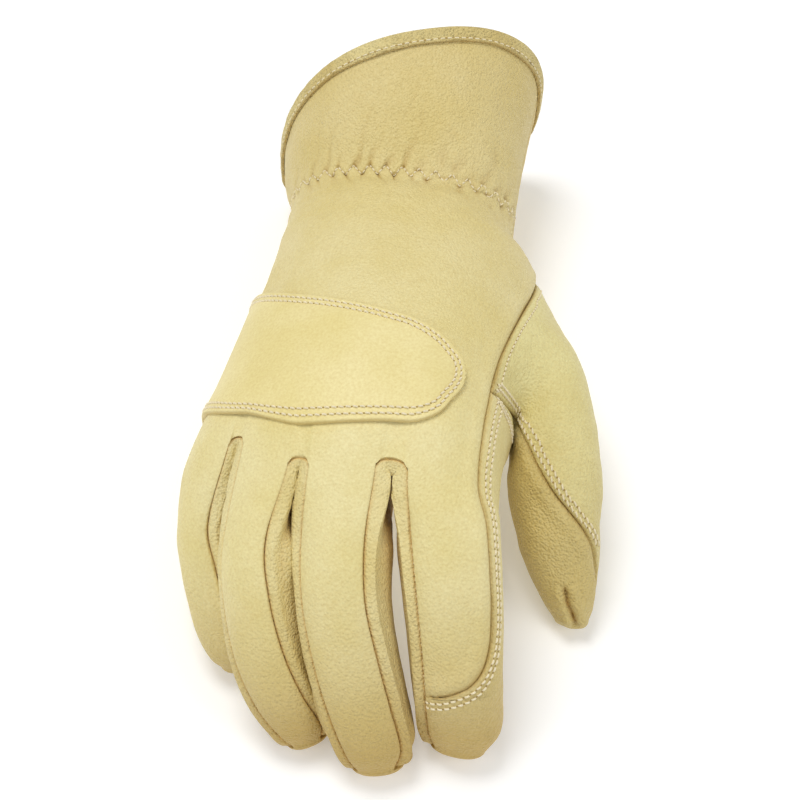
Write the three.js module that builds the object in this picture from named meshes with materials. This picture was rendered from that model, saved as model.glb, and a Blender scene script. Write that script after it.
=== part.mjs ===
// A right-hand leather work glove with a gathered wrist and a bound cuff, lying palm down.
// Millimetres, +Z up, fingers toward -Y, thumb toward +X. The skin is one closed net of sections
// that is shared out to the leather panels, and every panel is given its own thickness.
import * as THREE from "three";

const LEATHER = 1.8;            // thickness of a panel
const GAP = 0.3;                // opening left along each seam
const STRAP_THICK = 1.3;
const STRAP_LIFT = 0.5;         // strap clear of the back under it
const BINDING_DEPTH = 5;        // how far the rim band reaches down each side
const BINDING_THICK = 1.1;
const ROUNDNESS = 0.87;         // power of the cosine in a section, 1 is an ellipse
const CENTRE = new THREE.Vector2(1.16, 25);   // middle of the footprint in the table below

// Hand sections from the rim to the finger roots. at = length along the glove; y = y0 + slant*x + lean*z;
// the section touches the points left (xl, zl), top (xt, zt), right (xr, zr) and bottom (xb, zb),
// and hollow lifts the palm between xb and xr.
const HAND = [
  // at,  y0,  slant, lean,  xl,   zl, xt,  zt,  xr,  zr, xb,  zb, hollow
  [0, 150.4, 0.38, -0.085, -67.2, 19, -15, 87.6, 26.6, 47, -18, 1.2, 0],   // rim
  [24, 122.4, 0.17, -0.1, -63.5, 24, -15, 78, 25.2, 42, -18, 0.5, 0],       // middle of the cuff
  [48, 101.5, 0.03, -0.17, -57.6, 30, -14, 65, 25.6, 36, -18, 6, 0],        // gather
  [64, 84, 0, -0.05, -56.6, 30, -12, 67.5, 27.5, 36, -18, 1, 0],            // wrist
  [80, 70, 0, 0, -57.2, 30, -11, 69, 36.2, 36, -18, -1, 0],                 // root of the thumb
  [108, 40, 0, 0, -59, 30, -5, 72, 40, 34, -22, -1, 3],                     // ball of the thumb
  [142, 2, 0, 0, -63.2, 29, 2, 75, 37.6, 38, -32, 5, 9],                    // thumb crotch
  [158, -14, 0, 0, -66.6, 28, 6, 74.5, 36.4, 45, -38, 12, 13],              // knuckles
  [176, -32, 0, 0, -68.2, 27, 8, 69.5, 37, 48, -42, 18, 16],                // finger roots
];
// y of each strip at its root, at its right and its left edge on the back, left and right on the palm.
const BACK_ARCH = { index: [-32, -35.5], middle: [-35.5, -38], ring: [-38, -29], little: [-29, -30] };
const SIDE_ARCH = [-30, -32];
const PALM_ARCH = { little: [-32, -26], ring: [-26, -32], middle: [-32, -27], index: [-27, -30] };
const SLIT_DEPTH = 3;           // how far a slit's round end reaches past its corners
const SEAM_START = 80;          // where the thumb opening starts, and where it ends
const SEAM_END = 142;

// Finger and thumb sections: at, centre x, y, z, half width, half height, yaw, pitch and roll in degrees.
const DIGITS = {
  index: [
    [200, 22.6, -43.4, 52, 15.9, 14, 12, 29, -3], [218, 26.6, -59.4, 43, 15.4, 13.8, 14, 33, -3],
    [233, 29.4, -70.6, 34, 14.7, 13.2, 15, 41, -3], [250, 33.1, -83.1, 22, 14, 12, 12, 48, -2],
    [261, 35.1, -89.3, 12.5, 12.8, 9.8, 5, 54, 0], [268, 34.9, -93.6, 6.6, 9, 6.2, -2, 54, 0]],
  middle: [
    [200, -8, -52.9, 49, 15, 13.5, 13, 27, 14], [218, -5.2, -68.2, 41, 14.5, 13.3, 16, 32, 14],
    [233, -0.6, -80.7, 31, 14.3, 12.8, 23, 39, 12], [250, 4.8, -91.2, 20.5, 13.7, 12, 26, 44, 10],
    [261, 9.7, -99.1, 10.5, 12.3, 9.8, 24, 50, 6], [268, 11.2, -103.4, 5.6, 8.6, 6, 18, 52, 4]],
  ring: [
    [200, -33.8, -54.5, 44, 12.4, 12.2, 12, 28, 30], [218, -30.7, -69.3, 36, 12.5, 12.2, 17, 31, 28],
    [233, -26.2, -81.5, 27, 12.2, 11.8, 26, 37, 24], [250, -20.5, -90.7, 18, 11.2, 11, 35, 44, 18],
    [261, -14.9, -95.5, 9.5, 9.8, 9, 38, 50, 12], [268, -12.6, -98.4, 5.2, 7, 5.6, 36, 52, 8]],
  little: [
    [196, -53.8, -43.9, 30.4, 11.2, 11.6, 18, 24, 44], [210, -50.4, -54.7, 25, 11.2, 11.2, 21, 28, 42],
    [222, -46.4, -64.4, 18.6, 11, 10.6, 24, 35, 38], [232, -42.9, -71.4, 12.6, 10.2, 9.6, 24, 43, 32],
    [239, -40.5, -75.3, 8.2, 8.8, 8, 23, 52, 26], [245, -39.6, -77.3, 5.2, 6, 5, 21, 56, 22]],
  thumb: [
    [24, 45.4, 24.4, 34, 18.2, 18.5, 61, 4, 0], [46, 50.6, 8.3, 32, 15.2, 16.5, 28, 12, 0],
    [68, 54.2, -10, 26, 15.6, 15, 9, 18, 0], [84, 57.5, -24, 19, 13, 12.8, 10, 22, 0],
    [96, 61, -34, 12.6, 10, 10, 8, 24, 0], [104, 63.6, -40.7, 9, 7.5, 7.2, 8, 26, 0],
    [109, 64.8, -44.2, 6.6, 4.8, 4.4, 6, 28, 0]],
};
const TIP_BULGE = 3.2;          // how far the closed end stands out past the last section

// Angles round the hand, degrees from +X toward the top, of each finger's strip: right edge and left edge.
const TOP_STRIP = { index: [42, 89.8], middle: [95, 110.2], ring: [115.4, 131.8], little: [137, 172] };
const BOTTOM_STRIP = { little: [222, 266], ring: [271, 280.5], middle: [283.5, 302], index: [305.5, 324] };
const EDGE_ON_DIGIT = { index: [47, 140], middle: [55, 140], ring: [56, 140], little: [52, 140] };
const LOW_EDGE = { index: 45, middle: 40, ring: 40, little: 40 };
const THUMB_SEAM_TOP = [165, 160, 137, 98, 46, 2, -28, -42];      // edge of the outer thumb piece, degrees
const THUMB_SEAM_LOW = [0, -15, -30, -46, -62, -76, -86, -92];      // its lower edge
const CELLS = { index: 6, middle: 4, ring: 4, little: 4 };         // faces across each strip
const SIDE_CELLS = 4;
const WRAP_FROM = 246;          // the index side piece takes the whole fingertip from here on

const RAD = Math.PI / 180;
const V = (x, y, z) => new THREE.Vector3(x, y, z);
const mix = (a, b, t) => a + (b - a) * t;
const power = (v) => Math.sign(v) * Math.abs(v) ** ROUNDNESS;

// Point of a hand section at an angle: four quarter curves through its four extreme points.
function handPoint([, y0, slant, lean, xl, zl, xt, zt, xr, zr, xb, zb, hollow], degrees) {
  const c = power(Math.cos(degrees * RAD));
  const s = power(Math.sin(degrees * RAD));
  const xm = s > 0 ? xt : xb;
  const zm = c > 0 ? zr : zl;
  const x = xm + c * (c > 0 ? xr - xm : xm - xl);
  const z = zm + s * (s > 0 ? zt - zm : zm - zb) + (s < 0 && c > 0 ? 4 * hollow * c * (1 - c) : 0);
  return V(x, y0 + slant * x + lean * z, z);
}

// Axes of a finger section: across to the right, up and along toward the tip.
function axes([, , , , , , yaw, pitch, roll]) {
  const along = V(Math.sin(yaw * RAD) * Math.cos(pitch * RAD), -Math.cos(yaw * RAD) * Math.cos(pitch * RAD),
    -Math.sin(pitch * RAD));
  const flat = V(Math.cos(yaw * RAD), Math.sin(yaw * RAD), 0);
  const lift = along.clone().cross(flat);
  const across = flat.clone().multiplyScalar(Math.cos(roll * RAD)).addScaledVector(lift, Math.sin(roll * RAD));
  return { across, up: along.clone().cross(across), along };
}

function digitPoint(row, degrees, scale = 1, push = 0) {
  const { across, up, along } = axes(row);
  return V(row[1], row[2], row[3])
    .addScaledVector(across, scale * row[4] * power(Math.cos(degrees * RAD)))
    .addScaledVector(up, scale * row[5] * power(Math.sin(degrees * RAD)))
    .addScaledVector(along, push);
}

// Smooth curve through points at given distances, with each slope taken from the two neighbours.
function spline(at, points, s) {
  const last = at.length - 1;
  let i = 0;
  while (i < last - 1 && s > at[i + 1]) i += 1;
  const slope = (k) => {
    const a = Math.max(k - 1, 0);
    const b = Math.min(k + 1, last);
    return points[b].clone().sub(points[a]).divideScalar(at[b] - at[a]);
  };
  const h = at[i + 1] - at[i];
  const t = (s - at[i]) / h;
  return points[i].clone().multiplyScalar(2 * t ** 3 - 3 * t ** 2 + 1)
    .addScaledVector(slope(i), h * (t ** 3 - 2 * t ** 2 + t))
    .addScaledVector(points[i + 1], 3 * t ** 2 - 2 * t ** 3)
    .addScaledVector(slope(i + 1), h * (t ** 3 - t ** 2));
}

// Distances to sample: every station, with a number of equal steps between each pair.
const stepped = (at, steps) => at.slice(1).flatMap((b, i) =>
  Array.from({ length: steps[i] }, (_, k) => mix(at[i], b, (k + 1) / steps[i])));

const handAt = HAND.map((row) => row[0]);
const handRows = [0, BINDING_DEPTH, ...stepped(handAt, [2, 3, 2, 2, 3, 4, 2, 2])];
const fingerSteps = [3, 2, 2, 1, 2, 1];

// Edges of the thumb opening: both leave the side seam at the same point and draw apart.
function openingEdge(s, end) {
  const u = Math.min(Math.max((s - SEAM_START) / (SEAM_END - SEAM_START), 0), 1);
  return 2 + (end - 2) * (1 - (1 - u) ** 2.2);
}
const seamLeft = (s) => mix(205, 222, Math.min(Math.max((s - 108) / 68, 0), 1));

// A point on the skin: the hand sections at one angle, run on into a finger at its own angle.
// arch is the y at the finger's root, where it isn't the section's own.
function skin(s, handAngle, digit, digitAngle, arch = null) {
  const at = [...handAt];
  const points = HAND.map((row) => handPoint(row, handAngle));
  if (arch !== null) points[points.length - 1].y = arch;
  if (digit) {
    for (const row of DIGITS[digit]) {
      at.push(row[0]);
      points.push(digitPoint(row, digitAngle));
    }
  }
  return spline(at, points, s);
}

// The net is gathered as faces that name their panel; equal points are welded afterwards.
const points = [];
const index = new Map();
const faces = [];
function vertex(p) {
  const q = V(p.x, p.y, Math.max(p.z, 0));
  const key = [q.x, q.y, q.z].map((v) => Math.round(v * 2000)).join(",");
  if (!index.has(key)) {
    index.set(key, points.length);
    points.push(q);
  }
  return index.get(key);
}
function addFace(panel, corners) {
  const ring = corners.filter((id, k) => id !== corners[(k + 1) % corners.length]);
  if (ring.length > 2) faces.push({ panel, ring });
}
// grid[i][j]: i counts round the glove from right over the top to left, j counts toward the tips.
function addGrid(panel, grid) {
  for (let i = 0; i + 1 < grid.length; i += 1) {
    for (let j = 0; j + 1 < grid[i].length; j += 1) {
      const owner = typeof panel === "function" ? panel(i, j) : panel;
      addFace(owner, [grid[i][j], grid[i + 1][j], grid[i + 1][j + 1], grid[i][j + 1]].map(vertex));
    }
  }
}

const FINGERS = ["index", "middle", "ring", "little"];
const fingerRows = (name) => stepped([176, ...DIGITS[name].map((row) => row[0])], fingerSteps);

// Where each column of a strip lies: on the hand, on its finger, and how far down its root is.
function strip(name, edges, digitEdges, arches, cells, bottom) {
  return Array.from({ length: cells + 1 }, (_, k) => {
    const f = k / cells;
    return { name, hand: mix(...edges, f), digit: mix(...digitEdges, f), arch: mix(...arches, f), bottom };
  });
}
function columnPoint(col, s) {
  if (col.bottom) {
    const right = openingEdge(s, -36) + 360;
    const left = seamLeft(s);
    const angle = mix(left, right, (col.hand - 222) / 102);
    return skin(s, angle, col.name, col.digit, col.arch);
  }
  const right = openingEdge(s, 42);
  const angle = col.hand <= 89.8 ? mix(right, 89.8, (col.hand - 42) / 47.8)
    : col.hand > 172 ? mix(172, seamLeft(s), (col.hand - 172) / 50) : col.hand;
  return skin(s, angle, col.name, col.digit, col.arch);
}

// Back: four strips with a slit of two cells between each pair, and the little finger's outer side.
const top = Object.fromEntries(FINGERS.map((name) =>
  [name, strip(name, TOP_STRIP[name], EDGE_ON_DIGIT[name], BACK_ARCH[name], CELLS[name], false)]));
const side = strip("little", [172, 222], [140, 220], SIDE_ARCH, SIDE_CELLS, false);
const under = Object.fromEntries(FINGERS.map((name) =>
  [name, strip(name, BOTTOM_STRIP[name], [220, 360 - LOW_EDGE[name]], PALM_ARCH[name], CELLS[name], true)]));

const run = (cols, rows) => cols.map((col) => rows.map((s) => columnPoint(col, s)));
// Middle column of a slit, between the last column of one strip and the first of the next.
function slit(a, b) {
  const angle = (a.hand + b.hand) / 2;
  const column = { hand: angle, bottom: a.bottom, arch: (a.arch + b.arch) / 2 + SLIT_DEPTH };
  return handRows.map((s) => columnPoint(column, s));
}
const first = (cols) => cols[0];
const last = (cols) => cols[cols.length - 1];
const slits = {
  middle: slit(last(top.index), first(top.middle)), ring: slit(last(top.middle), first(top.ring)),
  little: slit(last(top.ring), first(top.little)),
};
const palmSlits = {
  middle: slit(last(under.middle), first(under.index)), ring: slit(last(under.ring), first(under.middle)),
  little: slit(last(under.little), first(under.ring)),
};
const rootOf = (name) => run(top[name], handRows);
addGrid("back_panel", [...rootOf("index"), slits.middle, ...rootOf("middle"), slits.ring, ...rootOf("ring"),
  slits.little, ...rootOf("little"), ...run(side, handRows).slice(1)]);
addGrid("palm_panel", [...run(under.little, handRows), palmSlits.little, ...run(under.ring, handRows),
  palmSlits.ring, ...run(under.middle, handRows), palmSlits.middle, ...run(under.index, handRows)]);

// Fingers beyond the roots: top and bottom strips.
for (const name of FINGERS) {
  const rows = [176, ...fingerRows(name)];
  addGrid((i, j) => (name === "index" && rows[j] >= WRAP_FROM ? "index_wrap" : "back_panel"), run(top[name], rows));
  addGrid("palm_panel", run(under[name], rows));
}
addGrid("back_panel", run(side, [176, ...fingerRows("little")]));

// Side walls of the fingers. A wall column goes from the slit's back edge to its palm edge at the root,
// and follows the finger's own section from its first station on.
function wall(upper, lower, name, from, to) {
  const rows = [176, ...fingerRows(name)];
  return Array.from({ length: SIDE_CELLS + 1 }, (_, k) => {
    if (k === 0) return rows.map((s) => columnPoint(upper, s));
    if (k === SIDE_CELLS) return rows.map((s) => columnPoint(lower, s));
    const f = k / SIDE_CELLS;
    const at = [176, ...DIGITS[name].map((row) => row[0])];
    const pts = [columnPoint(upper, 176).lerp(columnPoint(lower, 176), f),
      ...DIGITS[name].map((row) => digitPoint(row, mix(from, to, f)))];
    return rows.map((s) => spline(at, pts, s));
  });
}
// Fourchette between finger a on the right and finger b on the left: both walls and the web between.
function fourchette(panel, a, b) {
  const web = Array.from({ length: SIDE_CELLS + 1 }, (_, k) =>
    last(slits[b]).clone()
      .lerp(last(palmSlits[b]), k / SIDE_CELLS));
  const left = wall(last(top[a]), under[a][0], a, 140, 220);
  const right = wall(top[b][0], last(under[b]), b, EDGE_ON_DIGIT[b][0], -LOW_EDGE[b]);
  addGrid(panel, left);
  addGrid(panel, [...right].reverse());
  const edgeA = left.map((col) => col[0]);
  const edgeB = right.map((col) => col[0]);
  addGrid(panel, [edgeA, web, edgeB].map((col) => [...col].reverse()).reverse());
}
fourchette("fourchette_index_middle", "index", "middle");
fourchette("fourchette_middle_ring", "middle", "ring");
fourchette("fourchette_ring_little", "ring", "little");

// Index side piece: from the thumb crotch along the finger's outer side and round its tip.
const indexRight = Array.from({ length: SIDE_CELLS + 1 }, (_, k) => {
  const f = k / SIDE_CELLS;
  const rows = [...handRows.filter((s) => s >= SEAM_END), ...fingerRows("index")];
  if (k === 0) return rows.map((s) => columnPoint(last(under.index), s));
  if (k === SIDE_CELLS) return rows.map((s) => columnPoint(top.index[0], s));
  const arch = mix(PALM_ARCH.index[1], BACK_ARCH.index[0], f);
  return rows.map((s) => skin(s, mix(-36, 42, f), "index", mix(-45, 47, f), arch));
});
addGrid("index_wrap", indexRight);

// Thumb: its root ring follows the opening, then its own sections to the tip.
const openRows = handRows.filter((s) => s >= SEAM_START && s <= SEAM_END);
const ringTop = openRows.map((s) => columnPoint(top.index[0], s));
const ringFront = indexRight.map((col) => col[0]).reverse();
const ringLow = openRows.map((s) => columnPoint(last(under.index), s)).reverse();
const ring = [...ringTop, ...ringFront.slice(1), ...ringLow.slice(1)];
const outerCells = ringTop.length - 1;
const thumbAt = [0, ...DIGITS.thumb.map((row) => row[0])];
const thumbRows = [0, ...stepped(thumbAt, [3, 3, 3, 2, 2, 1, 1])];
function thumbColumn(k) {
  const f = k <= outerCells ? k / outerCells : (k - outerCells) / (ring.length - 1 - outerCells);
  const pts = [ring[k], ...DIGITS.thumb.map((row, i) => {
    const hi = THUMB_SEAM_TOP[i + 1];
    const lo = THUMB_SEAM_LOW[i + 1];
    return digitPoint(row, k <= outerCells ? mix(lo, hi, f) : mix(hi, lo + 360, f));
  })];
  return thumbRows.map((s) => spline(thumbAt, pts, s));
}
const thumb = ring.map((_, k) => thumbColumn(k));
thumb[ring.length - 1] = thumb[0];
addGrid((i) => (i < outerCells ? "thumb_back" : "thumb_front"), thumb);

// Rounded ends: one ring part way in and a point at the middle.
function cap(panel, row, edge) {
  const centre = V(row[1], row[2], row[3]);
  const { along } = axes(row);
  const mid = edge.map((p) => centre.clone().lerp(p, 0.62).addScaledVector(along, TIP_BULGE * 0.75));
  const pole = edge.map(() => centre.clone().addScaledVector(along, TIP_BULGE));
  addGrid(panel, edge.map((p, k) => [p, mid[k], pole[k]]));
}
const ends = (cols) => cols.map(last);
const tipRing = (name) => {
  const rows = [176, ...fingerRows(name)];
  const right = name === "index" ? indexRight
    : [...wall(top[name][0], last(under[name]), name, EDGE_ON_DIGIT[name][0], -LOW_EDGE[name])].reverse();
  const left = name === "little" ? run(side, rows) : wall(last(top[name]), under[name][0], name, 140, 220);
  return [...ends(right), ...ends(run(top[name], rows)).slice(1), ...ends(left).slice(1),
    ...ends(run(under[name], rows)).slice(1)];
};
for (const name of FINGERS) {
  cap(name === "index" ? "index_wrap" : "back_panel", DIGITS[name][5], tipRing(name));
}
cap("thumb_front", DIGITS.thumb[6], thumb.map((col) => col[col.length - 1]));

// Outward direction at every welded point.
const normals = points.map(() => V(0, 0, 0));
for (const { ring: r } of faces) {
  for (let k = 1; k + 1 < r.length; k += 1) {
    const n = points[r[k]].clone().sub(points[r[0]]).cross(points[r[k + 1]].clone().sub(points[r[0]]));
    [r[0], r[k], r[k + 1]].forEach((id) => normals[id].add(n));
  }
}
normals.forEach((n) => n.normalize());

function solid(name, vertices, triangles, material) {
  const geometry = new THREE.BufferGeometry();
  geometry.setAttribute("position",
    new THREE.Float32BufferAttribute(vertices.flatMap((p) => [p.x - CENTRE.x, p.y - CENTRE.y, Math.max(p.z, 0)]), 3));
  geometry.setIndex(triangles.flat());
  geometry.computeVertexNormals();
  const mesh = new THREE.Mesh(geometry, material);
  mesh.name = name;
  return mesh;
}

// One panel: its faces, the same faces set in by the leather's thickness, and its cut edge.
function panelMesh(name, material) {
  const mine = faces.filter((face) => face.panel === name);
  const edges = new Map();
  for (const { ring: r } of mine) {
    r.forEach((a, k) => edges.set(`${a},${r[(k + 1) % r.length]}`, [a, r[(k + 1) % r.length]]));
  }
  const border = [...edges.values()].filter(([a, b]) => !edges.has(`${b},${a}`));
  const inward = new Map();
  for (const [a, b] of border) {
    const along = points[b].clone().sub(points[a]).normalize();
    for (const id of [a, b]) {
      const push = normals[id].clone().cross(along).normalize();
      inward.set(id, [...(inward.get(id) ?? []), push]);
    }
  }
  const used = [...new Set(mine.flatMap((face) => face.ring))];
  const place = new Map(used.map((id, k) => [id, k]));
  const shift = (id) => {
    const pushes = inward.get(id) ?? [];
    if (!pushes.length) return V(0, 0, 0);
    const sum = pushes.reduce((acc, p) => acc.add(p), V(0, 0, 0)).normalize();
    return sum.multiplyScalar(GAP / 2 / Math.max(sum.dot(pushes[0]), 0.5));
  };
  const outer = used.map((id) => points[id].clone().add(shift(id)));
  const inner = used.map((id, k) => outer[k].clone().addScaledVector(normals[id], -LEATHER));
  const n = used.length;
  const triangles = [];
  for (const { ring: r } of mine) {
    const q = r.map((id) => place.get(id));
    for (let k = 1; k + 1 < q.length; k += 1) {
      triangles.push([q[0], q[k], q[k + 1]], [q[0] + n, q[k + 1] + n, q[k] + n]);
    }
  }
  for (const [a, b] of border) {
    const [p, q] = [place.get(a), place.get(b)];
    if (a < b) triangles.push([q, p, p + n], [q, p + n, q + n]);
    else triangles.push([q, p, q + n], [p, p + n, q + n]);
  }
  return solid(name, [...outer, ...inner], triangles, material);
}

const leather = (color) => new THREE.MeshStandardMaterial({ color, roughness: 0.62, metalness: 0 });
const glove = new THREE.Group();
const PANELS = { back_panel: "#e6d991", palm_panel: "#dccd86", fourchette_index_middle: "#d8c883",
  fourchette_middle_ring: "#d8c883", fourchette_ring_little: "#d8c883", index_wrap: "#e2d48c",
  thumb_back: "#dfdc9e", thumb_front: "#d6c681" };
for (const [name, color] of Object.entries(PANELS)) glove.add(panelMesh(name, leather(color)));

// Point and outward direction of the back at a true angle, for the strap laid on it.
function backColumn(angle) {
  const name = FINGERS.find((key) => angle <= TOP_STRIP[key][1] + 2.6) ?? "side";
  const edges = TOP_STRIP[name] ?? [172, 222];
  const f = Math.min(Math.max((angle - edges[0]) / (edges[1] - edges[0]), 0), 1);
  const digit = name === "side" ? [140, 220] : EDGE_ON_DIGIT[name];
  const arch = name === "side" ? SIDE_ARCH : BACK_ARCH[name];
  return { name: name === "side" ? "little" : name, digit: mix(...digit, f), arch: mix(...arch, f) };
}
function backFrame(s, angle) {
  const at = (ds, da) => {
    const { name, digit, arch } = backColumn(angle + da);
    return skin(s + ds, angle + da, name, digit, arch);
  };
  const alongS = at(0.5, 0).sub(at(-0.5, 0));
  const round = at(0, 0.5).sub(at(0, -0.5));
  return { p: at(0, 0), n: round.cross(alongS).normalize() };
}

// Knuckle strap: rows of angle, wristward edge and fingerward edge, from the thumb end to the seam.
const STRAP = [
  // angle, wrist edge, finger edge
  [62.5, 140, 146.5], [63.5, 138.2, 149.5], [66, 136.5, 152.3], [70, 134, 155.8], [76, 130.8, 159],
  [84, 128.2, 162.2], [92, 126.2, 164.3], [101, 123.6, 165.2], [110, 121.8, 165.2],
  [120, 119.8, 165.4], [131, 117.4, 165], [140, 115, 163], [148, 112, 159.8], [156, 109, 156],
  [165, 107, 153.5], [176, 105.3, 151.5], [187, 104.3, 150], [198, 103.5, 149]];
const STRAP_CELLS = 9;
{
  const vertices = [];
  const triangles = [];
  const wide = STRAP_CELLS + 1;
  for (const lift of [STRAP_LIFT + STRAP_THICK, STRAP_LIFT]) {
    for (const [angle, from, to] of STRAP) {
      for (let j = 0; j < wide; j += 1) {
        const { p, n } = backFrame(mix(from, to, j / STRAP_CELLS), angle);
        vertices.push(p.addScaledVector(n, lift));
      }
    }
  }
  const half = STRAP.length * wide;
  const quad = (a, b, c, d) => triangles.push([a, b, c], [a, c, d]);
  for (let i = 0; i + 1 < STRAP.length; i += 1) {
    for (let j = 0; j < STRAP_CELLS; j += 1) {
      const a = i * wide + j;
      quad(a, a + wide, a + wide + 1, a + 1);
      quad(half + a, half + a + 1, half + a + wide + 1, half + a + wide);
    }
    const [lo, hi] = [i * wide, i * wide + STRAP_CELLS];
    quad(lo, half + lo, half + lo + wide, lo + wide);
    quad(hi, hi + wide, half + hi + wide, half + hi);
  }
  for (let j = 0; j < STRAP_CELLS; j += 1) {
    const end = (STRAP.length - 1) * wide + j;
    quad(j, j + 1, half + j + 1, half + j);
    quad(end, half + end, half + end + 1, end + 1);
  }
  glove.add(solid("knuckle_strap", vertices, triangles, leather("#eadf9c")));
}

// Binding: a folded band over the rim, swept round the net's own first columns.
{
  const columns = [...rootOf("index"), slits.middle, ...rootOf("middle"), slits.ring, ...rootOf("ring"),
    slits.little, ...rootOf("little"), ...run(side, handRows).slice(1), ...run(under.little, handRows).slice(1),
    palmSlits.little, ...run(under.ring, handRows), palmSlits.ring, ...run(under.middle, handRows),
    palmSlits.middle, ...run(under.index, handRows).slice(0, -1)];
  const outside = GAP + BINDING_THICK;
  const profile = [[GAP, 1], [outside, 1], [outside, -GAP], [0.1, -outside], [-LEATHER - 0.1, -outside],
    [-LEATHER - outside, -GAP], [-LEATHER - outside, 1], [-LEATHER - GAP, 1], [-LEATHER - GAP, -GAP], [GAP, -GAP]];
  const vertices = [];
  for (const column of columns) {
    const [rim, low] = [vertex(column[0]), vertex(column[1])];
    const beyond = points[rim].clone().sub(points[low]).normalize();
    for (const [out, down] of profile) {
      const id = down > 0 ? low : rim;
      vertices.push(points[id].clone().addScaledVector(normals[id], out)
        .addScaledVector(beyond, down < 0 ? -down : 0));
    }
  }
  const m = profile.length;
  const triangles = columns.flatMap((_, i) => profile.flatMap((__, k) => {
    const [a, b] = [i * m + k, i * m + (k + 1) % m];
    const next = ((i + 1) % columns.length) * m;
    const [c, d] = [next + k, next + (k + 1) % m];
    return [[a, d, c], [a, b, d]];
  }));
  glove.add(solid("cuff_binding", vertices, triangles, leather("#d9c97d")));
}

export default glove;
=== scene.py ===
import math

import bpy
import numpy as np
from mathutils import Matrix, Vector


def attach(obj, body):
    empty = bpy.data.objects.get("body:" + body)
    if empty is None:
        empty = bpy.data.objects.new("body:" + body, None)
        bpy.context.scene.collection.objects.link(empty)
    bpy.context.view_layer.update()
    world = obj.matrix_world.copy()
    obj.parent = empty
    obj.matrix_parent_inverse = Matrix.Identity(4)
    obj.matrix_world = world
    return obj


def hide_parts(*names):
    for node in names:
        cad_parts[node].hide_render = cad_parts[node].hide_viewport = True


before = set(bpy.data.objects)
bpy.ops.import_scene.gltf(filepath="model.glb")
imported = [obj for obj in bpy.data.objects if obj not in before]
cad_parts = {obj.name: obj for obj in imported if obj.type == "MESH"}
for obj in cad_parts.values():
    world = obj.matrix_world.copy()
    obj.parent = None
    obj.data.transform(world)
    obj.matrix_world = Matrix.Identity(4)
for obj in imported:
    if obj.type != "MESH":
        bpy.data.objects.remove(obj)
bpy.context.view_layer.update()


# The skin that every panel is cut from: goatskin, sewn into one closed shell round the hand, palm down.
# Sections run from the cuff's rim to the finger roots, then down each finger and the thumb, in millimetres.
CENTRE = np.array([1.16, 25.0, 0.0])
LEATHER = 1.8
ROUNDNESS = 0.87
# at, y0, slant, lean, left x z, top x z, right x z, bottom x z, hollow of the palm
HAND = np.array([
    [0, 150.4, 0.38, -0.085, -67.2, 19, -15, 87.6, 26.6, 47, -18, 1.2, 0],
    [24, 122.4, 0.17, -0.1, -63.5, 24, -15, 78, 25.2, 42, -18, 0.5, 0],
    [48, 101.5, 0.03, -0.17, -57.6, 30, -14, 65, 25.6, 36, -18, 6, 0],
    [64, 84, 0, -0.05, -56.6, 30, -12, 67.5, 27.5, 36, -18, 1, 0],
    [80, 70, 0, 0, -57.2, 30, -11, 69, 36.2, 36, -18, -1, 0],
    [108, 40, 0, 0, -59, 30, -5, 72, 40, 34, -22, -1, 3],
    [142, 2, 0, 0, -63.2, 29, 2, 75, 37.6, 38, -32, 5, 9],
    [158, -14, 0, 0, -66.6, 28, 6, 74.5, 36.4, 45, -38, 12, 13],
    [176, -32, 0, 0, -68.2, 27, 8, 69.5, 37, 48, -42, 18, 16],
])
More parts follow.
